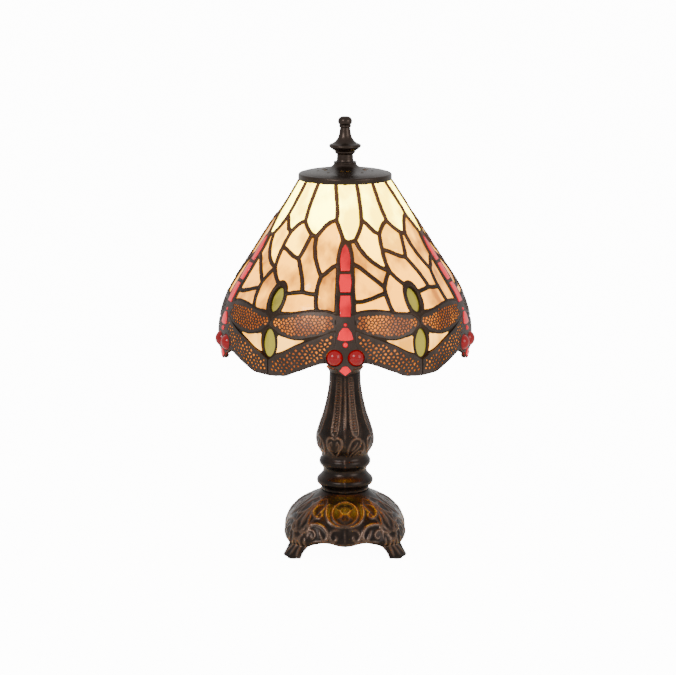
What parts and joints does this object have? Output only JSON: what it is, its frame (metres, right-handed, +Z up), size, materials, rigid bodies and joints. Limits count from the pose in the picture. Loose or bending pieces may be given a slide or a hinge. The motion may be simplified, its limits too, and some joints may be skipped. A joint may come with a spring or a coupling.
{
  "type": "stained glass table lamp",
  "caption": "Small table lamp: a leaded glass shade with a dragonfly border on a harp over a footed cast metal column, with finial, vented cap, socket and bulb.",
  "frame": {"origin": "on the table under the lamp's upright axis", "axes": "+Z up along the lamp's axis, the front dragonfly faces -Y, +X is to the right of someone facing it"},
  "size_m": [0.195, 0.196, 0.3305],
  "materials": {
    "bronze_patina": "dark bronze patina on cast metal, rubbed warm on the high points",
    "felt": "dark felt",
    "black_steel": "black painted sheet steel",
    "black_plastic": "matte black moulded plastic",
    "plated_steel": "zinc plated steel",
    "brass": "thin spun brass",
    "fibre_liner": "brown insulating fibre",
    "bulb_glass": "frosted bulb glass",
    "nickel_shell": "bright screw shell",
    "petal_glass": "opalescent white glass, glossy outside",
    "cream_glass": "opalescent cream glass",
    "peach_glass": "opalescent peach glass",
    "tan_glass": "opalescent tan glass",
    "background_glass": "opalescent pale glass",
    "amber_glass": "amber glass behind the pierced wings",
    "red_glass": "red pressed glass jewels",
    "olive_glass": "olive green pressed glass cabochons",
    "dark_solder": "dark patina on solder and copper"
  },
  "bodies": {
    "root": {"base_casting": "bronze_patina", "foot_pads": "felt", "base_cover": "black_steel", "base_felt": "felt", "cord_bushing": "black_plastic", "column_casting": "bronze_patina", "neck_cup": "bronze_patina", "threaded_rod": "plated_steel", "base_washer": "plated_steel", "base_nut": "plated_steel", "column_nut": "plated_steel", "harp_saddle": "plated_steel", "harp_wire": "plated_steel", "harp_ferrules": "plated_steel", "harp_stud": "plated_steel", "socket_cap": "brass", "socket_shell": "brass", "socket_liner": "fibre_liner", "socket_body": "black_plastic", "screw_shell": "brass", "centre_contact": "brass"},
    "shade": {"petal_glass": "petal_glass", "cream_glass": "cream_glass", "peach_glass": "peach_glass", "tan_glass": "tan_glass", "background_glass": "background_glass", "upper_wing_glass": "amber_glass", "lower_wing_glass": "amber_glass", "tail_glass": "red_glass", "thorax_glass": "red_glass", "body_beads": "red_glass", "eye_cabochons": "red_glass", "upper_oval_cabochons": "olive_glass", "lower_oval_cabochons": "olive_glass", "body_filigree": "dark_solder", "upper_wing_filigree": "dark_solder", "lower_wing_filigree": "dark_solder", "solder_network": "dark_solder", "top_ring": "brass", "vent_cap": "bronze_patina", "finial_seat_ring": "bronze_patina"},
    "finial": {"finial": "bronze_patina"},
    "bulb": {"bulb_glass": "bulb_glass", "bulb_base": "nickel_shell", "bulb_tip": "black_plastic", "filament_mount": "bulb_glass"},
    "switch_knob": {"switch_knob": "black_plastic"}
  },
  "joints": [
    {"name": "shade_lift", "type": "slide", "parent": "root", "child": "shade", "axis": [0, 0, 1], "range_m": [0, 0.16]},
    {"name": "finial_lift", "type": "slide", "parent": "shade", "child": "finial", "axis": [0, 0, 1], "range_m": [0, 0.02]},
    {"name": "bulb_out", "type": "slide", "parent": "root", "child": "bulb", "axis": [0, 0, 1], "range_m": [0, 0.02]},
    {"name": "switch_turn", "type": "hinge", "parent": "root", "child": "switch_knob", "pos_m": [0, 0.02, 0.166], "axis": [0, 1, 0], "continuous": true}
  ]
}
